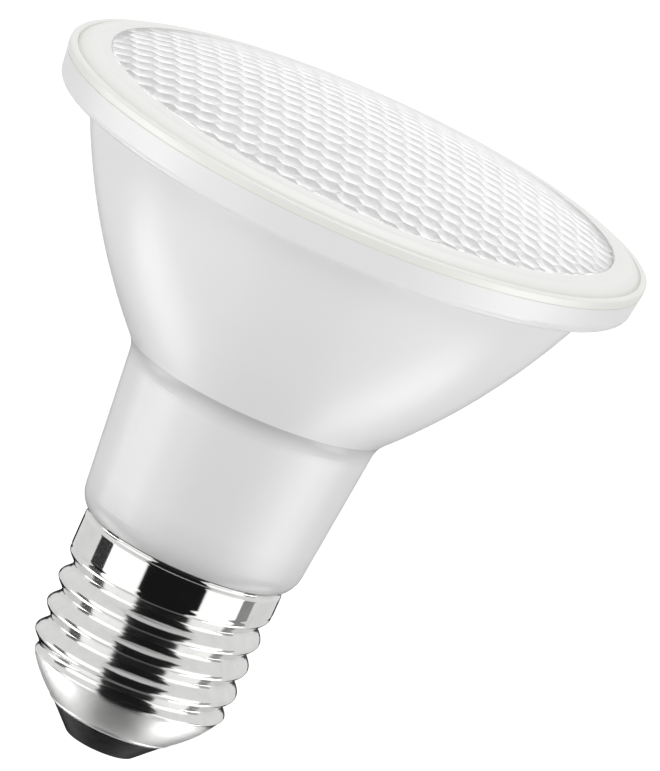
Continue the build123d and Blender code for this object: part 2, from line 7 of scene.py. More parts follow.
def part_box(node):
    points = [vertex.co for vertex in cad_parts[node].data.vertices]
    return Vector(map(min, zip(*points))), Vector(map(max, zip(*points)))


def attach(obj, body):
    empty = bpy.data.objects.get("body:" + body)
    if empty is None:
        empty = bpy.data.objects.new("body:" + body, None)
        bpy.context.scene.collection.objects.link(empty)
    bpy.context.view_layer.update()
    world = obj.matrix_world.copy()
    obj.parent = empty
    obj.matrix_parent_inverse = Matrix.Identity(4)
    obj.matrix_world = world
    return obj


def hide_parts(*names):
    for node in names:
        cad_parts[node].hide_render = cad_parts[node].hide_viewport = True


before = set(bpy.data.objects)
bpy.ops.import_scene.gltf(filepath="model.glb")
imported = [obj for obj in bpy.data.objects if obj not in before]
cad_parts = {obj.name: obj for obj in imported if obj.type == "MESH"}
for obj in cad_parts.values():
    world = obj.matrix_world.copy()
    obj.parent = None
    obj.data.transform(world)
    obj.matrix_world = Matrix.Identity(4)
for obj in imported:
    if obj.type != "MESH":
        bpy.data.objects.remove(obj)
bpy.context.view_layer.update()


# Centre contact: the head of a brass rivet, the lowest face of the lamp. It is punched from sheet,
# pressed through the insulator and soldered to the live wire, so it is satin with fine scratches.
def plain_finish(name, color, roughness, metallic=0.0):
    """A new material whose principled shader has these plain values."""
    material = bpy.data.materials.new(name)
    material.use_nodes = True
    shader = material.node_tree.nodes["Principled BSDF"]
    shader.inputs["Base Color"].default_value = (*color, 1)
    shader.inputs["Roughness"].default_value = roughness
    shader.inputs["Metallic"].default_value = metallic
    return material, shader


def grain(material, size, stretch=(1, 1, 1), detail=3):
    """Cloudy pattern in the piece's own space, with spots about size metres across."""
    nodes = material.node_tree.nodes
    place = nodes.new("ShaderNodeTexCoord")
    spread = nodes.new("ShaderNodeMapping")
    spread.inputs["Scale"].default_value = [k / size for k in stretch]
    cloud = nodes.new("ShaderNodeTexNoise")
    cloud.inputs["Scale"].default_value = 1
    cloud.inputs["Detail"].default_value = detail
    material.node_tree.links.new(place.outputs["Object"], spread.inputs["Vector"])
    material.node_tree.links.new(spread.outputs["Vector"], cloud.inputs["Vector"])
    return cloud.outputs["Fac"]


def tint(material, shader, pattern, low_color, high_color, span=(0.35, 0.65)):
    """Lets the colour drift between two tones along the part of a pattern within span."""
    ramp = material.node_tree.nodes.new("ShaderNodeValToRGB")
    ramp.color_ramp.elements[0].position = span[0]
    ramp.color_ramp.elements[0].color = (*low_color, 1)
    ramp.color_ramp.elements[1].position = span[1]
    ramp.color_ramp.elements[1].color = (*high_color, 1)
    material.node_tree.links.new(pattern, ramp.inputs["Fac"])
    material.node_tree.links.new(ramp.outputs["Color"], shader.inputs["Base Color"])


def polish(material, shader, pattern, low, high, span=(0.3, 0.7)):
    """Lets the roughness drift between two values along the part of a pattern within span."""
    spread = material.node_tree.nodes.new("ShaderNodeMapRange")
    spread.inputs["From Min"].default_value = span[0]
    spread.inputs["From Max"].default_value = span[1]
    spread.inputs["To Min"].default_value = low
    spread.inputs["To Max"].default_value = high
    material.node_tree.links.new(pattern, spread.inputs["Value"])
    material.node_tree.links.new(spread.outputs["Result"], shader.inputs["Roughness"])


def relief(material, shader, pattern, depth):
    """Raises the surface by depth metres along a pattern."""
    bump = material.node_tree.nodes.new("ShaderNodeBump")
    bump.inputs["Strength"].default_value = 1
    bump.inputs["Distance"].default_value = depth
    material.node_tree.links.new(pattern, bump.inputs["Height"])
    material.node_tree.links.new(bump.outputs["Normal"], shader.inputs["Normal"])


def dress(node, material):
    """Gives a CAD node its finish."""
    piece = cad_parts[node]
    piece.data.materials.clear()
    piece.data.materials.append(material)


brass, shader = plain_finish("contact_brass", (0.72, 0.6, 0.34), 0.3, metallic=1)
tint(brass, shader, grain(brass, 0.0012), (0.66, 0.53, 0.28), (0.76, 0.65, 0.4))
polish(brass, shader, grain(brass, 0.0002, (1, 12, 1)), 0.24, 0.42)
relief(brass, shader, grain(brass, 0.0002, (1, 12, 1)), 0.000004)
dress("centre_contact", brass)


# Cap insulator: a black truncated cone pressed from thermosetting plastic, with small rounds at its
# edges. The rolled mouth of the screw shell grips it and the contact sits in its middle.
def ringed(name, rings, material):
    """A closed piece from rings of points round the axis, the last ring joined to the first."""
    columns = len(rings[0])
    points = [point for ring in rings for point in ring]
    quads = []
    for row in range(len(rings)):
        low = row * columns
        high = (row + 1) % len(rings) * columns
        for k in range(columns):
            n = (k + 1) % columns
            quads.append((low + k, low + n, high + n, high + k))
    mesh = bpy.data.meshes.new(name)
    mesh.from_pydata(points, [], quads)
    return placed(name, mesh, material)


def turned(name, profile, columns, material):
    """A closed piece turned about the lamp's axis from (radius, height) points."""
    angles = [2 * pi * k / columns for k in range(columns)]
    rings = [[(r * cos(a), r * sin(a), z) for a in angles] for r, z in profile]
    return ringed(name, rings, material)


def placed(name, mesh, material, sharp_angle=radians(35)):
    """Puts a finished mesh into the scene, smooth but for its sharp edges, as part of the lamp."""
    mesh.shade_smooth()
    mesh.set_sharp_from_angle(angle=sharp_angle)
    mesh.materials.append(material)
    piece = bpy.data.objects.new(name, mesh)
    bpy.context.scene.collection.objects.link(piece)
    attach(piece, "root")
    return piece


def rounded(corners, radius, steps=5):
    """The corner points of a profile with every inner corner eased by about radius."""
    path = [Vector(corners[0])]
    for before, corner, after in zip(corners, corners[1:], corners[2:]):
        before, corner, after = Vector(before), Vector(corner), Vector(after)
        reach_in = min(radius, (before - corner).length / 2)
        reach_out = min(radius, (after - corner).length / 2)
        start = corner + (before - corner).normalized() * reach_in
        end = corner + (after - corner).normalized() * reach_out
        for k in range(steps + 1):
            t = k / steps
            path.append(start * (1 - t) ** 2 + corner * (2 * t * (1 - t)) + end * t**2)
    path.append(Vector(corners[-1]))
    return [tuple(p) for p in path]


insulator_low, insulator_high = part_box("cap_insulator")
shell_low, shell_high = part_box("screw_shell")
insulator_bore_r = 0.00125
insulator_face_r = 0.0044
shell_mouth_r = 0.0076
plug_r = 0.0072
insulator_round = 0.0003
insulator_columns = 160

insulator_black, shader = plain_finish("insulator_black", (0.012, 0.012, 0.013), 0.34)
black_cloud = grain(insulator_black, 0.0015)
tint(insulator_black, shader, black_cloud, (0.008, 0.008, 0.009), (0.018, 0.018, 0.019))
shader.inputs["IOR"].default_value = 1.22
polish(insulator_black, shader, grain(insulator_black, 0.0006), 0.28, 0.42)
relief(insulator_black, shader, grain(insulator_black, 0.0001), 0.000003)
insulator_corners = [
    (insulator_bore_r, insulator_low.z),
    (insulator_face_r, insulator_low.z),
    (shell_mouth_r, shell_low.z),
    (plug_r, shell_low.z),
    (insulator_high.x, insulator_high.z),
    (insulator_bore_r, insulator_high.z),
]
insulator_profile = rounded(insulator_corners, insulator_round)
insulator = turned("insulator", insulator_profile, insulator_columns, insulator_black)
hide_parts("cap_insulator")


# Screw shell: thin brass sheet, drawn to a cup, rolled with a rounded right-hand thread and plated
# with bright nickel. Its mouth is rolled over the insulator and its collar crimped round the neck.
def soft_step(low, high, value):
    """0 below low, 1 above high and an even ease between them."""
    t = min(max((value - low) / (high - low), 0), 1)
    return t * t * (3 - 2 * t)


def graded(material, stops, interpolation="LINEAR"):
    """Colour that changes up a piece, by stops of a height in its own space and a colour."""
    nodes, links = material.node_tree.nodes, material.node_tree.links
    low, high = stops[0][0], stops[-1][0]
    place = nodes.new("ShaderNodeTexCoord")
    split = nodes.new("ShaderNodeSeparateXYZ")
    along = nodes.new("ShaderNodeMapRange")
    along.inputs["From Min"].default_value = low
    along.inputs["From Max"].default_value = high
    ramp = nodes.new("ShaderNodeValToRGB")
    ramp.color_ramp.interpolation = interpolation
    marks = ramp.color_ramp.elements
    for k, (height, color) in enumerate(stops):
        mark = marks[k] if k < 2 else marks.new(1)
        mark.position = (height - low) / (high - low)
        mark.color = (*color, 1)
    links.new(place.outputs["Object"], split.inputs["Vector"])
    links.new(split.outputs["Z"], along.inputs["Value"])
    links.new(along.outputs["Result"], ramp.inputs["Fac"])
    return ramp.outputs["Color"]


def grey(tone):
    """A neutral colour."""
    return tone, tone, tone


shell_wall = 0.0003
bore_step = 0.001
cone_top_z = 0.009
cone_top_r = 0.0125
cone_bulge = 0.0004
thread_root_r = 0.01195
thread_depth = 0.00115
thread_pitch = 0.003629
thread_crest_z = 0.0109
thread_ease = 0.00025
collar_turns = 3
collar_r = 0.01315
band_top_z = 0.0265
waist_z = 0.02705
waist_r = 0.01285
flare_bend = 1.6
collar_lip_r = shell_high.x
lip_gap = 0.0002
collar_ease = 0.0006
run_out_angle = radians(75)
mouth_lip = 0.00014
mouth_lip_height = 0.00055
shell_columns = 240
shell_rows = 240


def thread_r(z, angle):
    """Radius of the rolled thread, a crest facing -X at thread_crest_z."""
    turn = (z - thread_crest_z) / thread_pitch - (angle - pi) / (2 * pi)
    return thread_root_r + thread_depth * (1 + cos(2 * pi * turn)) / 2


def cone_r(z):
    """Radius of the cone, which swells a little between its mouth and the thread."""
    t = (z - shell_low.z) / (cone_top_z - shell_low.z)
    slant = hypot(cone_top_r - shell_mouth_r, cone_top_z - shell_low.z)
    swell = 4 * cone_bulge * t * (1 - t) * slant / (cone_top_z - shell_low.z)
    lip = mouth_lip * sin(pi * min((z - shell_low.z) / mouth_lip_height, 1))
    return shell_mouth_r + (cone_top_r - shell_mouth_r) * t + max(swell, 0) + lip


def collar_share(z, angle):
    """1 on the collar, whose lower edge is the top turn of the thread; it runs out at the back."""
    turned_by = (angle - pi / 2) % (2 * pi)
    turns = collar_turns + (turned_by - pi / 2) / (2 * pi)
    edge_z = thread_crest_z + thread_pitch * turns
    run_out = soft_step(2 * pi - run_out_angle, 2 * pi, turned_by)
    return max(
        soft_step(edge_z, edge_z + collar_ease, z),
        run_out * soft_step(edge_z - thread_pitch, edge_z - thread_pitch + collar_ease, z),
    )


def shell_r(z, angle):
    """Radius of the shell's outside: cone, thread, collar band, waist and flared lip."""
    if z > waist_z:
        flare = (z - waist_z) / (shell_high.z - waist_z)
        return waist_r + (collar_lip_r - waist_r) * flare**flare_bend
    if z > band_top_z:
        return collar_r + (waist_r - collar_r) * soft_step(band_top_z, waist_z, z)
    spare = cone_r(z) - thread_r(z, angle)
    barrel_r = cone_r(z) - (spare + sqrt(spare**2 + thread_ease**2)) / 2
    return barrel_r + (collar_r - barrel_r) * collar_share(z, angle)


shell_nickel, shader = plain_finish("shell_nickel", (0.8, 0.8, 0.79), 0.1, metallic=1)
tint(shell_nickel, shader, grain(shell_nickel, 0.002), (0.77, 0.77, 0.76), (0.82, 0.82, 0.81))
relief(shell_nickel, shader, grain(shell_nickel, 0.00025, (0.06, 0.06, 1)), 0.000004)
satin = ((0.0082, 0.36), (0.0092, 0.13), (0.0215, 0.13), (0.0232, 0.06))
shell_roughness = graded(shell_nickel, [(z, grey(roughness)) for z, roughness in satin])
shell_nickel.node_tree.links.new(shell_roughness, shader.inputs["Roughness"])

shell_angles = [2 * pi * k / shell_columns for k in range(shell_columns)]
shell_rings = []
for row in range(shell_rows + 1):
    z = shell_low.z + (shell_high.z - lip_gap - shell_low.z) * row / shell_rows
    radii = [shell_r(z, a) for a in shell_angles]
    shell_rings.append([(r * cos(a), r * sin(a), z) for r, a in zip(radii, shell_angles)])
shell_bore = [
    (collar_lip_r - 2 * shell_wall, shell_high.z - lip_gap),
    (waist_r - shell_wall, waist_z),
    (collar_r - shell_wall, band_top_z),
    (collar_r - shell_wall, band_top_z - bore_step),
    (thread_root_r - shell_wall, band_top_z - 2 * bore_step),
    (thread_root_r - shell_wall, cone_top_z - shell_wall),
    (shell_mouth_r - shell_wall, shell_low.z),
]
for r, z in shell_bore:
    shell_rings.append([(r * cos(a), r * sin(a), z) for a in shell_angles])
shell = ringed("shell", shell_rings, shell_nickel)
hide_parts("screw_shell")


# Housing: one injection moulding in white plastic with a fine satin skin. Its spigot holds the cap
# and its rim the lens; the bowl is lined with the heat sink. Its colour holds painted shade: grey
# at the foot of the neck and just under the edge of the bowl, where shade falls.
neck_foot_z = shell_high.z
bowl_edge_z = 0.04975
housing_white, shader = plain_finish("housing_white", (0.8, 0.8, 0.8), 0.32)
shader.inputs["IOR"].default_value = 1.6
# Painted shade in the base colour: darker towards the foot of the neck and just under the bowl's
# edge.
painted_neck_shade = (
    (neck_foot_z + 0.0003, 0.53),
    (neck_foot_z + 0.0018, 0.62),
    (neck_foot_z + 0.0032, 0.7),
    (neck_foot_z + 0.006, 0.76),
    (bowl_edge_z - 0.003, 0.76),
    (bowl_edge_z - 0.0019, 0.68),
    (bowl_edge_z - 0.0009, 0.57),
    (bowl_edge_z - 0.0003, 0.5),
    (bowl_edge_z - 0.00005, 0.5),
    (bowl_edge_z, 0.8),
)
painted_shade = graded(housing_white, [(z, grey(tone)) for z, tone in painted_neck_shade])
housing_white.node_tree.links.new(painted_shade, shader.inputs["Base Color"])
polish(housing_white, shader, grain(housing_white, 0.0015), 0.29, 0.36)
relief(housing_white, shader, grain(housing_white, 0.00025), 0.000002)
dress("housing", housing_white)


# Driver: a green glass-fibre board with its parts on both sides, hidden in the neck. Legs and leads
# are tinned, cans are sleeved, the winding is taped and each block is moulded or dipped.
def banded(material, shader, bands):
    """Colours a piece in bands up its height, each band given by its start and its colour."""
    color = graded(material, bands, "CONSTANT")
    material.node_tree.links.new(color, shader.inputs["Base Color"])


tin = (0.7, 0.7, 0.68)

board_green, shader = plain_finish("board_green", (0.05, 0.2, 0.1), 0.35)
board_weave = grain(board_green, 0.0016, (1, 1, 3))
tint(board_green, shader, board_weave, (0.03, 0.15, 0.07), (0.07, 0.26, 0.13))
relief(board_green, shader, grain(board_green, 0.0004), 0.00001)
dress("driver_board", board_green)

bung_height = 0.0014
bare_top = 0.0004
sleeve_tone = (0.03, 0.035, 0.06)
can_tone = grey(0.75)
for node in ("bulk_capacitor", "output_capacitor"):
    low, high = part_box(node)
    sleeve, shader = plain_finish(node + "_sleeve", sleeve_tone, 0.3)
    bands = [(low.z, tin), (low.z + bung_height, sleeve_tone), (high.z - bare_top, can_tone)]
    banded(sleeve, shader, bands)
    polish(sleeve, shader, grain(sleeve, 0.001), 0.22, 0.4)
    relief(sleeve, shader, grain(sleeve, 0.0008, (1, 1, 4)), 0.00001)
    dress(node, sleeve)

film_red, shader = plain_finish("film_red", (0.35, 0.06, 0.03), 0.3)
tint(film_red, shader, grain(film_red, 0.002), (0.3, 0.05, 0.025), (0.4, 0.08, 0.04))
relief(film_red, shader, grain(film_red, 0.0012), 0.00002)
dress("film_capacitor", film_red)

ferrite, shader = plain_finish("ferrite", (0.05, 0.05, 0.055), 0.6)
tint(ferrite, shader, grain(ferrite, 0.0005), (0.04, 0.04, 0.045), (0.075, 0.075, 0.08))
relief(ferrite, shader, grain(ferrite, 0.0002), 0.00001)
dress("transformer_core", ferrite)

coil_tape, shader = plain_finish("coil_tape", (0.7, 0.45, 0.06), 0.28)
tape_turns = grain(coil_tape, 0.0007, (0.2, 0.2, 3))
tint(coil_tape, shader, tape_turns, (0.62, 0.38, 0.04), (0.76, 0.52, 0.1))
relief(coil_tape, shader, grain(coil_tape, 0.0006, (0.2, 0.2, 3)), 0.00002)
dress("transformer_coil", coil_tape)

block_tone = (0.02, 0.02, 0.022)
for node, half_width in (("bridge_rectifier", 0.0025), ("driver_chip", 0.002)):
    low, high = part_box(node)
    middle = (low.z + high.z) / 2
    block, shader = plain_finish(node + "_black", block_tone, 0.55)
    bands = [(low.z, tin), (middle - half_width, block_tone), (middle + half_width, tin)]
    banded(block, shader, bands)
    relief(block, shader, grain(block, 0.0002), 0.000008)
    dress(node, block)

fuse_low, fuse_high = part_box("fuse_resistor")
lacquer = (0.06, 0.22, 0.12)
fuse_tail = 0.0015
fuse_margin = 0.001
fuse_ring = 0.0009
fuse_body_z = fuse_low.z + fuse_tail
fuse_bands = [(fuse_low.z, tin), (fuse_body_z, lacquer)]
for k, ring in enumerate(((0.3, 0.12, 0.03), (0.02, 0.02, 0.02), (0.5, 0.3, 0.05))):
    ring_z = fuse_body_z + fuse_margin + 2 * k * fuse_ring
    fuse_bands += [(ring_z, ring), (ring_z + fuse_ring, lacquer)]
fuse_bands.append((fuse_high.z - fuse_tail, tin))
fuse_green, shader = plain_finish("fuse_green", lacquer, 0.4)
banded(fuse_green, shader, fuse_bands)
relief(fuse_green, shader, grain(fuse_green, 0.0006), 0.00001)
dress("fuse_resistor", fuse_green)

wire_red = (0.4, 0.02, 0.015)
wire_black = grey(0.02)
wire_lift = 1.25
for node, tone in (
    ("live_wire", wire_red),
    ("neutral_wire", wire_black),
    ("led_lead_plus", wire_red),
    ("led_lead_minus", wire_black),
):
    wire, shader = plain_finish(node + "_cover", tone, 0.4)
    bright = tuple(wire_lift * c for c in tone)
    tint(wire, shader, grain(wire, 0.002), tone, bright)
    relief(wire, shader, grain(wire, 0.0004), 0.000006)
    dress(node, wire)


# Heat sink, thermal pad and LED board: a stamped aluminium cup stands on the shelf of the housing,
# and two zinc-plated screws clamp the white LED board and its soft grey pad to the cup's floor.
sink_aluminium, shader = plain_finish("sink_aluminium", (0.72, 0.73, 0.74), 0.35, metallic=1)
polish(sink_aluminium, shader, grain(sink_aluminium, 0.0006, (1, 1, 8)), 0.28, 0.48)
relief(sink_aluminium, shader, grain(sink_aluminium, 0.0005, (1, 1, 8)), 0.000006)
dress("heat_sink", sink_aluminium)

pad_grey, shader = plain_finish("pad_grey", (0.3, 0.32, 0.35), 0.8)
tint(pad_grey, shader, grain(pad_grey, 0.0006), (0.27, 0.29, 0.32), (0.34, 0.36, 0.39))
relief(pad_grey, shader, grain(pad_grey, 0.0003), 0.00001)
dress("thermal_pad", pad_grey)

board_white, shader = plain_finish("board_white", (0.85, 0.85, 0.84), 0.3)
tint(board_white, shader, grain(board_white, 0.003), (0.82, 0.82, 0.81), (0.88, 0.88, 0.87))
relief(board_white, shader, grain(board_white, 0.0007), 0.000008)
dress("led_board", board_white)

led_frame_white, shader = plain_finish("led_frame_white", (0.82, 0.82, 0.8), 0.5)
tint(led_frame_white, shader, grain(led_frame_white, 0.001), (0.8, 0.8, 0.78), (0.85, 0.85, 0.83))
dress("led_packages", led_frame_white)

phosphor_yellow, shader = plain_finish("phosphor_yellow", (0.85, 0.55, 0.08), 0.45)
tint(phosphor_yellow, shader, grain(phosphor_yellow, 0.0002), (0.8, 0.5, 0.06), (0.9, 0.62, 0.12))
relief(phosphor_yellow, shader, grain(phosphor_yellow, 0.0002), 0.00001)
dress("led_phosphors", phosphor_yellow)

screw_steel, shader = plain_finish("screw_steel", (0.6, 0.61, 0.62), 0.3, metallic=1)
polish(screw_steel, shader, grain(screw_steel, 0.0004), 0.22, 0.42)
dress("board_screws", screw_steel)


# Reflector: a moulded cup from the LED board up to the lens, metallised to a soft bright white.
# Its flange lies on the ledge of the rim, under the skirt of the lens.
reflector_bright, shader = plain_finish("reflector_bright", (0.93, 0.93, 0.93), 0.2, metallic=1)
polish(reflector_bright, shader, grain(reflector_bright, 0.003), 0.16, 0.26)
relief(reflector_bright, shader, grain(reflector_bright, 0.004), 0.00001)
dress("reflector", reflector_bright)


# Lens: one clear plastic moulding, a shallow dome whose back is a frosted honeycomb of bulging
# lenslets. A ring round it, milky from its rough mould, runs from a fine seam over a bead and a
# groove to a thin lip. The lip sits on the rim of the housing and a skirt reaches down inside it.
lens_low, lens_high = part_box("lens")
rim_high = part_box("housing")[1]
lip_r = lens_high.x
apex_z = lens_high.z
seam_z = rim_high.z
lip_top_z = seam_z + 0.0012
groove_r = lip_r - 0.0012
groove_width = 0.00035
groove_depth = 0.0004
dome_r = groove_r - 0.0023
dome_foot_z = lip_top_z + 0.0008
dome_rise = apex_z - dome_foot_z
dome_radius = (dome_r**2 + dome_rise**2) / (2 * dome_rise)
bead_rise = 0.0004
bead_steps = 8
lip_edge = 0.0001
lip_round = 0.0005
lip_foot_z = seam_z + 0.0005
lip_brow_z = seam_z + 0.0006
skirt_r = rim_high.x - 0.00235
skirt_inner_r = skirt_r - 0.0015
field_r = dome_r - 0.0013
clear_r = dome_r - 0.0016
seam_width = 0.00025
seam_depth = 0.0003
border = 0.0026
crease_depth = 0.0019
lenslet_pitch = 0.00305
lenslet_depth = 0.00055
lenslet_turn = radians(-23)
lenslet_steps = 5
grid_spare = 1.3


def dome_z(r):
    """Height of the dome's outside at radius r."""
    return apex_z - dome_radius + sqrt(dome_radius**2 - r**2)


def facing(angle):
    """A direction across the lamp."""
    return Vector((cos(angle), sin(angle)))


def lenslet_z(x, y):
    """Height of the lens's back inside the field, one bulge in each hexagon."""
    sides = [facing(lenslet_turn + k * pi / 3) for k in range(3)]
    across, along = sides[0] * lenslet_pitch, sides[1] * lenslet_pitch
    spread = across.x * along.y - across.y * along.x
    i = floor((x * along.y - y * along.x) / spread)
    j = floor((y * across.x - x * across.y) / spread)
    spot = Vector((x, y))
    middles = [across * p + along * q for p in (i, i + 1) for q in (j, j + 1)]
    from_middle = spot - min(middles, key=lambda middle: (spot - middle).length)
    outward = max(abs(from_middle.dot(side)) for side in sides) / (lenslet_pitch / 2)
    bulge = lenslet_depth * (1 - outward**2)
    return apex_z - crease_depth - (x**2 + y**2) / (2 * dome_radius) - bulge


def bead_arc(steps):
    """Points of the bead from the groove in to the foot of the dome."""
    for k in range(steps + 1):
        t = k / steps
        r = groove_r + (dome_r - groove_r) * t
        z = lip_top_z + (dome_foot_z - lip_top_z) * t + 4 * bead_rise * t * (1 - t)
        yield r, z


# A grid of triangles whose lines fall on the creases between lenslets. Its points past the field
# are drawn in to the edge of the field.
step = lenslet_pitch / sqrt(3) / lenslet_steps
side_a = facing(lenslet_turn + pi / 6) * step
side_b = facing(lenslet_turn + pi / 2) * step
reach = int(grid_spare * field_r / step)
spots = {}
for i in range(-reach, reach + 1):
    for j in range(-reach, reach + 1):
        spots[i, j] = side_a * i + side_b * j
triangles = []
for i, j in spots:
    for corners in (((i, j), (i + 1, j), (i, j + 1)), ((i + 1, j), (i + 1, j + 1), (i, j + 1))):
        if all(c in spots for c in corners) and any(spots[c].length < field_r for c in corners):
            triangles.append(corners)

lens_points = []
index = {}
edge_angles = {}
for corners in triangles:
    for c in corners:
        if c in index:
            continue
        spot = spots[c]
        if spot.length >= field_r:
            spot = spot.normalized() * field_r
            edge_angles[len(lens_points)] = atan2(spot.y, spot.x)
        index[c] = len(lens_points)
        lens_points.append((spot.x, spot.y, lenslet_z(spot.x, spot.y)))
lens_faces = [tuple(index[c] for c in reversed(corners)) for corners in triangles]

# The outline from the edge of the field round the skirt, lip, bead and seam to the dome's top.
border_radius = dome_radius - border
border_foot_z = apex_z - dome_radius + sqrt(border_radius**2 - field_r**2)
border_skirt_z = apex_z - dome_radius + sqrt(border_radius**2 - skirt_inner_r**2)
lip_foot = [(lip_r - lip_edge, seam_z), (lip_r, seam_z + lip_edge), (lip_r, lip_foot_z)]
lip_brow = [(lip_r, lip_brow_z), (lip_r, lip_top_z), (groove_r + groove_width, lip_top_z)]
outline = [
    (field_r, border_foot_z),
    (skirt_inner_r, border_skirt_z),
    (skirt_inner_r, lens_low.z),
    (skirt_r, lens_low.z),
    (skirt_r, seam_z),
    *rounded(lip_foot, lip_edge),
    *rounded(lip_brow, lip_round)[1:],
    (groove_r + groove_width / 2, lip_top_z - groove_depth),
]
ring_start = outline.index((skirt_r, seam_z))
outline += bead_arc(bead_steps)
milky_radii = (dome_r - 0.0005, dome_r - 0.001, clear_r + seam_width)
outline += [(r, dome_z(r)) for r in milky_radii]
outline.append((clear_r + seam_width / 2, dome_z(clear_r) - seam_depth))
ring_end = len(outline) - 1
outline += [(clear_r, dome_z(clear_r) - seam_depth), (clear_r, dome_z(clear_r))]
dome_rows = 28
dome_radii = [clear_r * (1 - k / dome_rows) for k in range(1, dome_rows)]
outline += [(r, dome_z(r)) for r in dome_radii]

lens_columns = 288
lens_angles = [2 * pi * k / lens_columns - pi for k in range(lens_columns + 1)]
first = len(lens_points)
for r, z in outline:
    lens_points += [(r * cos(angle), r * sin(angle), z) for angle in lens_angles[:-1]]

# The uneven edge of the field is joined to the first ring of the outline.
edge = sorted((angle, spot) for spot, angle in edge_angles.items())
edge.append((edge[0][0] + 2 * pi, edge[0][1]))
foot = [(angle, first + k % lens_columns) for k, angle in enumerate(lens_angles)]
i = j = 0
while i < len(edge) - 1 or j < lens_columns:
    if j == lens_columns or (i < len(edge) - 1 and edge[i + 1][0] < foot[j + 1][0]):
        lens_faces.append((edge[i][1], edge[i + 1][1], foot[j][1]))
        i += 1
    else:
        lens_faces.append((edge[i][1], foot[j + 1][1], foot[j][1]))
        j += 1

# The rings are joined to each other. The first two bands still belong to the frosted back.
back_bands = 2
back_end = len(lens_faces) + back_bands * lens_columns
ring_faces = set()
for row in range(len(outline) - 1):
    low, high = first + row * lens_columns, first + (row + 1) * lens_columns
    for k in range(lens_columns):
        n = (k + 1) % lens_columns
        if ring_start <= row < ring_end:
            ring_faces.add(len(lens_faces))
        lens_faces.append((low + k, low + n, high + n, high + k))
apex = len(lens_points)
lens_points.append((0, 0, apex_z))
last = first + (len(outline) - 1) * lens_columns
for k in range(lens_columns):
    lens_faces.append((last + k, last + (k + 1) % lens_columns, apex))

lens_clear, shader = plain_finish("lens_clear", (1, 1, 1), 0.02)
shader.inputs["Transmission Weight"].default_value = 1
shader.inputs["IOR"].default_value = 1.3
relief(lens_clear, shader, grain(lens_clear, 0.006), 0.000004)

ring_milky, shader = plain_finish("ring_milky", (0.84, 0.845, 0.815), 0.28)
shader.inputs["IOR"].default_value = 1.58
milk = graded(ring_milky, [(seam_z, (0.79, 0.8, 0.745)), (dome_foot_z, (0.845, 0.85, 0.83))])
ring_milky.node_tree.links.new(milk, shader.inputs["Base Color"])

lenslet_frost, shader = plain_finish("lenslet_frost", (0.93, 0.93, 0.935), 0.35)
shader.inputs["Transmission Weight"].default_value = 0.25
shader.inputs["IOR"].default_value = 1.3
polish(lenslet_frost, shader, grain(lenslet_frost, 0.002), 0.3, 0.4)

lens_mesh = bpy.data.meshes.new("lens_and_ring")
lens_mesh.from_pydata(lens_points, [], lens_faces)
lens_piece = placed("lens_and_ring", lens_mesh, lens_clear)
lens_mesh.materials.append(ring_milky)
lens_mesh.materials.append(lenslet_frost)
for face in ring_faces:
    lens_mesh.polygons[face].material_index = 1
for face in range(back_end):
    lens_mesh.polygons[face].material_index = 2
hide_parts("lens")


# Studio: a pale floor below the lamp, a white surround and soft lamps round it. Boards that only
# reflections or the lens can see stand round it, as black and white card round a table, and a dark
# one under it keeps soft light from coming up from below.
def card(name, rows, level, seen_in="glossy"):
    """A curved glowing board round the lamp that only reflections, the lens or soft light see."""
    mesh = bpy.data.meshes.new(name)
    wide, high = len(rows[0]), len(rows)
    patches = [
        (low, low + 1, low + wide + 1, low + wide)
        for low in range(wide * (high - 1))
        if low % wide < wide - 1
    ]
    mesh.from_pydata([point for row in rows for point in row], [], patches)
    board = bpy.data.objects.new(name, mesh)
    board.location = (0, 0, card_z)
    bpy.context.scene.collection.objects.link(board)
    glow = bpy.data.materials.new(name)
    glow.use_nodes = True
    glow.cycles.emission_sampling = "NONE"
    glow.node_tree.nodes.clear()
    light = glow.node_tree.nodes.new("ShaderNodeEmission")
    light.inputs["Color"].default_value = (*grey(level), 1)
    surface = glow.node_tree.nodes.new("ShaderNodeOutputMaterial")
    glow.node_tree.links.new(light.outputs["Emission"], surface.inputs["Surface"])
    mesh.materials.append(glow)
    board.visible_camera = False
    board.visible_shadow = False
    board.visible_diffuse = seen_in == "diffuse"
    board.visible_glossy = seen_in == "glossy"
    board.visible_transmission = seen_in == "lens"
    return glow, light


def spaced(ends, steps):
    """Angles in even steps between two ends given in degrees."""
    return [radians(ends[0] + (ends[1] - ends[0]) * k / steps) for k in range(steps + 1)]


def patch(turns, tilts, reach, steps=16):
    """Rows of points on a ball between two turns and two tilts; turn 0 is the camera's side."""
    rows = []
    for turn in spaced(turns, steps):
        x, y = reach * sin(turn), -reach * cos(turn)
        rows.append([(x * cos(t), y * cos(t), reach * sin(t)) for t in spaced(tilts, steps)])
    return rows


def strip(stations, reach, steps=12):
    """Rows of points on a ball along the camera's side, each station a tilt and two edges."""
    rows = []
    for (tilt_a, left_a, right_a), (tilt_b, left_b, right_b) in zip(stations, stations[1:]):
        for i in range(steps + 1):
            t = i / steps
            tilt = radians(tilt_a + (tilt_b - tilt_a) * t)
            left, right = left_a + (left_b - left_a) * t, right_a + (right_b - right_a) * t
            row = []
            for j in range(steps + 1):
                x = left + (right - left) * j / steps
                away = sqrt(1 - x * x)
                row.append((reach * x, -reach * away * cos(tilt), reach * away * sin(tilt)))
            rows.append(row)
    return rows


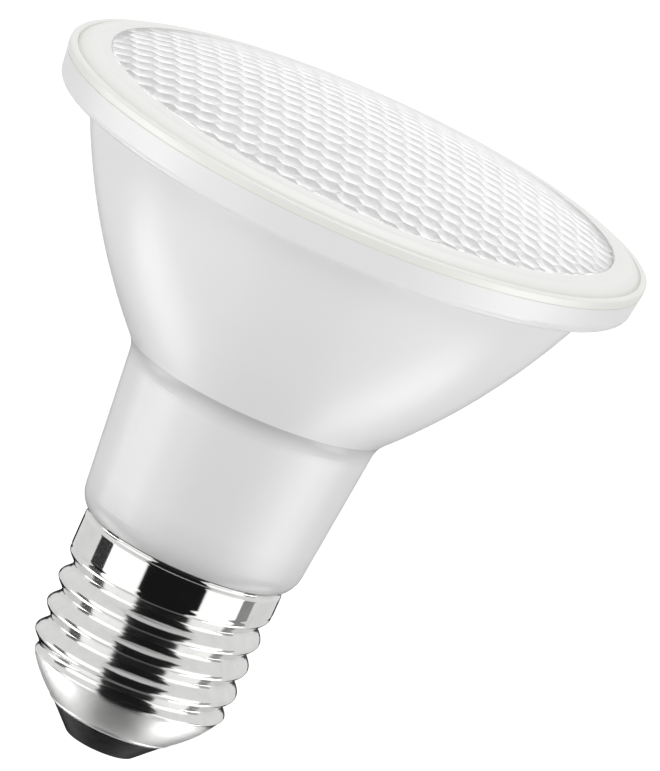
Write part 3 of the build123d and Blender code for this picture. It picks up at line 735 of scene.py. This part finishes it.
def by_path(nodes, links, soft, seen):
    """One strength for soft light, another for what camera, reflections and refractions see."""
    path = nodes.new("ShaderNodeLightPath")
    direct = path.outputs["Is Camera Ray"]
    for ray in ("Is Glossy Ray", "Is Transmission Ray"):
        either = nodes.new("ShaderNodeMath")
        either.operation = "MAXIMUM"
        links.new(direct, either.inputs[0])
        links.new(path.outputs[ray], either.inputs[1])
        direct = either.outputs["Value"]
    level = nodes.new("ShaderNodeMapRange")
    level.inputs["To Min"].default_value = soft
    level.inputs["To Max"].default_value = seen
    links.new(direct, level.inputs["Value"])
    return level.outputs["Result"]


floor_z = -0.3
floor_half = 6.0
floor_tone = 0.7
floor_soft = 0.68
floor_seen = 0.8
floor_mesh = bpy.data.meshes.new("floor")
floor_corners = [
    (x * floor_half, y * floor_half, floor_z) for x, y in ((-1, -1), (1, -1), (1, 1), (-1, 1))
]
floor_mesh.from_pydata(floor_corners, [], [(0, 1, 2, 3)])
floor_piece = bpy.data.objects.new("floor", floor_mesh)
bpy.context.scene.collection.objects.link(floor_piece)
floor_white = bpy.data.materials.new("floor_white")
floor_white.use_nodes = True
floor_white.cycles.emission_sampling = "NONE"
nodes, links = floor_white.node_tree.nodes, floor_white.node_tree.links
paint = nodes["Principled BSDF"]
paint.inputs["Base Color"].default_value = (*grey(floor_tone), 1)
paint.inputs["Roughness"].default_value = 0.8
paint.inputs["Emission Color"].default_value = (1, 1, 1, 1)
floor_glow = by_path(nodes, links, floor_soft, floor_seen)
links.new(floor_glow, paint.inputs["Emission Strength"])
floor_mesh.materials.append(floor_white)

sky_soft = 0.42
sky_seen = 1.0
world = bpy.data.worlds.new("surround")
bpy.context.scene.world = world
world.use_nodes = True
nodes, links = world.node_tree.nodes, world.node_tree.links
sky = nodes["Background"]
sky.inputs["Color"].default_value = (1, 1, 1, 1)
links.new(by_path(nodes, links, sky_soft, sky_seen), sky.inputs["Strength"])

lamp_target = Vector((0, 0, 0.05))
for name, spot, wide, high, power, seen_in in (
    ("lamp_left", (-0.77, -0.2, 0.25), 0.5, 0.7, 0.6, "diffuse"),
    ("lamp_right", (0.77, -0.2, 0.25), 0.5, 0.7, 0.6, "diffuse"),
    ("lamp_front", (0, -0.7, 0.6), 0.4, 0.4, 1.7, "diffuse"),
    ("lamp_top", (0, 0.1, 0.85), 0.6, 0.6, 3.0, "diffuse"),
    ("sheen_left", (-0.8, -0.08, -0.14), 0.7, 0.5, 5.6, "glossy"),
    ("sheen_right", (0.8, -0.08, -0.14), 0.7, 0.5, 4.6, "glossy"),
):
    lamp = bpy.data.lights.new(name, "AREA")
    lamp.shape = "RECTANGLE"
    lamp.size = wide
    lamp.size_y = high
    lamp.energy = power
    holder = bpy.data.objects.new(name, lamp)
    holder.location = spot
    holder.rotation_euler = (lamp_target - Vector(spot)).to_track_quat("-Z", "Y").to_euler()
    holder.visible_diffuse = seen_in == "diffuse"
    holder.visible_glossy = seen_in == "glossy"
    holder.visible_camera = False
    holder.visible_transmission = False
    bpy.context.scene.collection.objects.link(holder)

card_z = 0.015
card_reach = 0.24
tent_reach = 0.27
lens_reach = 1.2
table_reach = 0.15
tent_steps = 48
tent, tent_light = card("tent", patch((-180, 180), (-89, 89), tent_reach, tent_steps), 1)
tent_tones = ((0.0, 0.72), (0.15, 0.74), (0.3, 0.76), (0.5, 0.78), (0.6, 0.83), (1.0, 0.83))
tent_stops = [(tent_reach * (2 * share - 1), grey(tone)) for share, tone in tent_tones]
tent.node_tree.links.new(graded(tent, tent_stops), tent_light.inputs["Color"])

front_strip = ((72, -0.4, 0.5), (-12, -0.47, 0.62), (-70, -0.25, 0.35))
low_strip = ((-70, -0.25, 0.35), (-112, -0.2, 0.3))
card("card_front", strip(front_strip, card_reach), 0.01)
card("card_below", strip(low_strip, card_reach), 0.15)
card("card_left", patch((-97, -76), (-34, 8), card_reach), 0.005)
card("card_right", patch((86, 103), (-34, 8), card_reach), 0.25)
card("card_back_left", patch((-180, -157), (-50, 0), card_reach), 0.005)
card("card_low_left", patch((-157, -148), (-42, -19), card_reach), 0.01)
card("card_back_right", patch((158, 180), (-50, 0), card_reach), 0.04)
card("card_low_right", patch((150, 158), (-44, -22), card_reach), 0.05)
card("softbox_left", patch((-76, -30), (-45, 22), card_reach), 1.3)
card("softbox_right", patch((40, 86), (-45, 22), card_reach), 1.3)
card("sheen_low_left", patch((-124, -96), (-62, -31), card_reach), 3.8)
card("sheen_low_right", patch((96, 124), (-62, -31), card_reach), 3.6)
card("softbox_back", patch((115, 205), (12, 58), lens_reach), 5.5, "lens")
card("softbox_over", patch((-180, 180), (62, 89), lens_reach), 1.2, "lens")
card("table_top", patch((-180, 180), (-89.5, -45), table_reach), 0.03, "diffuse")


# Camera: far off with a long lens, a little above the lamp and rolled so that the lamp leans to the
# right, with the frame centred a little below and to the right of the lens.
camera_tilt = radians(12.8)
camera_roll = radians(24.1)
camera_distance = 3.0
aim_z = 0.0633
aim_right = 0.008
aim_up = -0.00957
picture_height = 771
picture_scale = 8150
right = Vector((1, 0, 0))
ahead = Vector((0, cos(camera_tilt), -sin(camera_tilt)))
upward = Vector((0, sin(camera_tilt), cos(camera_tilt)))
camera_right = right * cos(camera_roll) + upward * sin(camera_roll)
camera_up = upward * cos(camera_roll) - right * sin(camera_roll)
aim = Vector((0, 0, aim_z)) + right * aim_right + upward * aim_up
optics = bpy.data.cameras.new("camera")
optics.sensor_width = 36
optics.lens = picture_scale * camera_distance / picture_height * optics.sensor_width
optics.clip_end = 50
camera = bpy.data.objects.new("camera", optics)
turn = Matrix((camera_right, camera_up, -ahead)).transposed()
camera.matrix_world = Matrix.Translation(aim - ahead * camera_distance) @ turn.to_4x4()
bpy.context.scene.collection.objects.link(camera)
bpy.context.scene.camera = camera
bpy.context.scene.view_settings.view_transform = "Standard"
